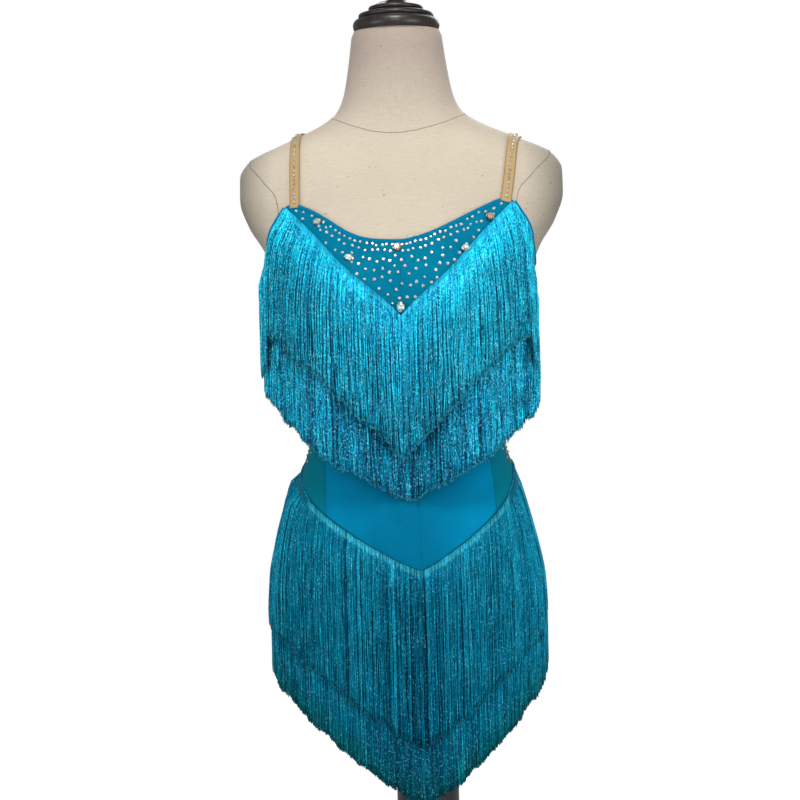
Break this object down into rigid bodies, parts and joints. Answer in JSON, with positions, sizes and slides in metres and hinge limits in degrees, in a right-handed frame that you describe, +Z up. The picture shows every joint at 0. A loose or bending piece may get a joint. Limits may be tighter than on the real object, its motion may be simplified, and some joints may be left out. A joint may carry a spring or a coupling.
{
  "type": "latin dance dress on a limbless dress form",
  "caption": "Fringed latin dance dress with crystal yoke, thin straps, bare-look back and V-seamed fringe skirt, worn on a limbless linen dress form with pole and round base.",
  "frame": {"origin": "on the floor, under the centre of the stand's base", "axes": "+Z up; the form faces -Y; +X is the wearer's left"},
  "size_m": [0.38, 0.38, 1.2886],
  "materials": {
    "teal_knit": "smooth stretch knit",
    "teal_net": "fine stretch net",
    "skin_net": "fine skin-coloured net",
    "skin_elastic": "covered elastic",
    "fringe": "glossy twisted rayon",
    "crystal": "cut and foiled",
    "linen": "plain-woven linen",
    "dark_wood": "gloss lacquer"
  },
  "bodies": {
    "root": {"stand_base": "dark_wood", "stand_pole": "dark_wood", "form_torso": "linen", "neck_cap": "dark_wood", "cap_knob": "dark_wood", "front_left": "teal_knit", "front_right": "teal_knit", "side_left": "teal_net", "side_right": "teal_net", "back": "skin_net", "skirt_front": "teal_knit", "skirt_back": "teal_knit", "strap_left": "skin_elastic", "strap_right": "skin_elastic", "fringe_bust_upper": "fringe", "fringe_bust_lower": "fringe", "fringe_skirt_upper_front": "fringe", "fringe_skirt_upper_back": "fringe", "fringe_skirt_lower_front": "fringe", "fringe_skirt_lower_back": "fringe", "stone_1": "crystal", "stone_2": "crystal", "stone_3": "crystal", "stone_4": "crystal", "stone_5": "crystal", "stone_6": "crystal"}
  },
  "joints": []
}
